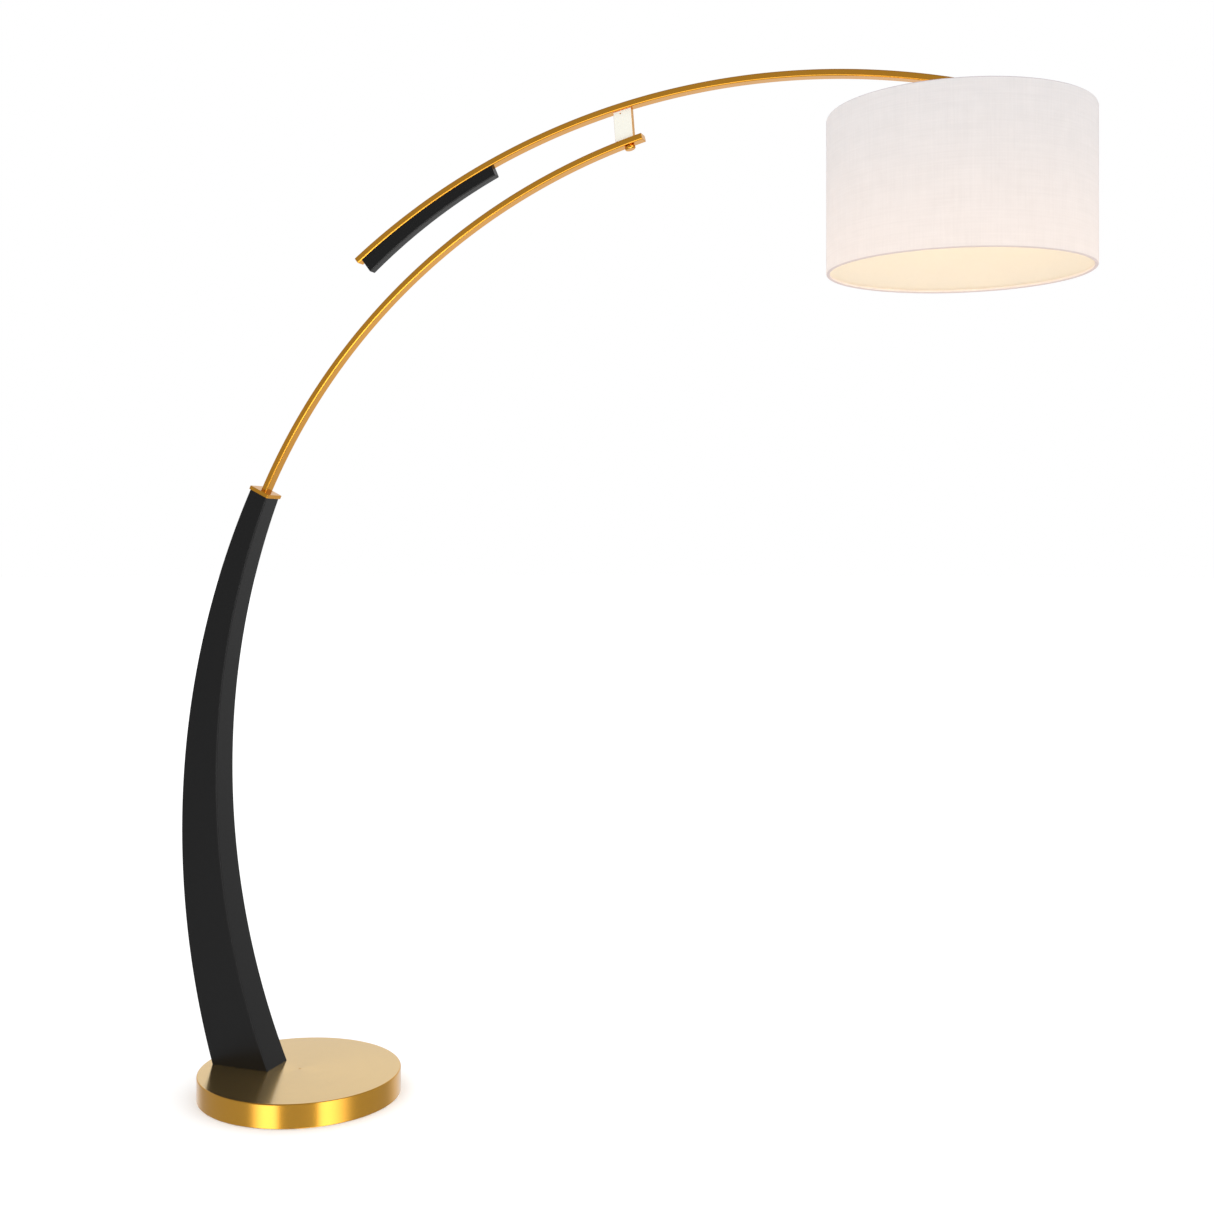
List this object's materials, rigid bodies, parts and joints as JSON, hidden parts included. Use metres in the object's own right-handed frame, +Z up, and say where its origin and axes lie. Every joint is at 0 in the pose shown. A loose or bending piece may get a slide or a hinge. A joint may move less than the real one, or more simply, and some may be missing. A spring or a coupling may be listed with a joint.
{
  "type": "arc floor lamp",
  "caption": "Arc floor lamp: round weighted base, curved tapering column, two stacked brass arcs joined by a lockable swivel, and a linen drum shade that tilts.",
  "frame": {"origin": "centre of the flat pad under the round base, on the floor", "axes": "+Z up; +X from the column towards the shade, in the plane of both arcs; +Y across that plane, which is the plane of symmetry"},
  "size_m": [1.878, 0.48, 2.0521],
  "materials": {
    "spun_brass": "spun top, satin sides",
    "satin_brass": "satin",
    "black_lacquer": "satin black lacquer",
    "cement": "rough",
    "steel": "zinc plated",
    "brass_hardware": "turned",
    "dark_steel": "blackened",
    "felt": "felt",
    "rubber": "matte",
    "fibre": "natural nylon",
    "phenolic": "moulded",
    "porcelain": "unglazed",
    "white_plastic": "moulded",
    "frosted_glass": "frosted",
    "linen": "woven linen",
    "shade_liner": "laminated lining",
    "wire_jacket": "soft jacket"
  },
  "bodies": {
    "stand": {"base_cover": "spun_brass", "base_weight": "cement", "base_plate": "steel", "base_pad": "felt", "foot_bolts": "steel", "foot_inserts": "brass_hardware", "cord_inlet": "rubber", "column": "black_lacquer", "column_cap": "satin_brass", "cap_screws": "brass_hardware", "lower_arc": "satin_brass", "lower_tip_plug": "satin_brass", "swivel_bolt": "steel", "friction_washer": "fibre", "lower_lead": "wire_jacket"},
    "arm": {"upper_arc": "satin_brass", "upper_tip_plug": "satin_brass", "upper_tail_plug": "satin_brass", "tail_grip": "black_lacquer", "grip_screws": "brass_hardware", "link_block": "satin_brass", "link_set_screw": "dark_steel", "arm_stub": "steel", "knuckle_fork": "satin_brass", "tilt_pins": "brass_hardware", "upper_lead": "wire_jacket"},
    "thumb_nut": {"thumb_nut": "satin_brass"},
    "head": {"knuckle_tongue": "satin_brass", "socket_cap": "satin_brass", "stem_nut": "steel", "socket_body": "phenolic", "socket_insulator": "porcelain", "centre_contact": "brass_hardware", "screw_shell": "brass_hardware", "shade_ring_nut": "phenolic", "bulb_base": "brass_hardware", "bulb_collar": "white_plastic", "led_board": "white_plastic", "bulb_globe": "frosted_glass", "shade_fabric": "linen", "shade_liner": "shade_liner", "shade_bottom_ring": "steel", "shade_spider": "steel", "socket_lead": "wire_jacket"},
    "switch": {"switch_shaft": "brass_hardware", "switch_knob": "phenolic"}
  },
  "joints": [
    {"name": "arm_swivel", "type": "hinge", "parent": "stand", "child": "arm", "pos_m": [0.72391, 0, 1.98312], "axis": [-0.2622, 0, 0.965], "range_deg": [-90, 90]},
    {"name": "thumb_nut_turn", "type": "hinge", "parent": "stand", "child": "thumb_nut", "pos_m": [0.73702, 0, 1.93487], "axis": [-0.2622, 0, 0.965], "continuous": true},
    {"name": "shade_tilt", "type": "hinge", "parent": "arm", "child": "head", "pos_m": [1.367, 0, 1.96647], "axis": [0, 1, 0], "range_deg": [-15, 15]},
    {"name": "switch_turn", "type": "hinge", "parent": "head", "child": "switch", "pos_m": [1.392, 0, 1.92147], "axis": [1, 0, 0], "continuous": true}
  ]
}
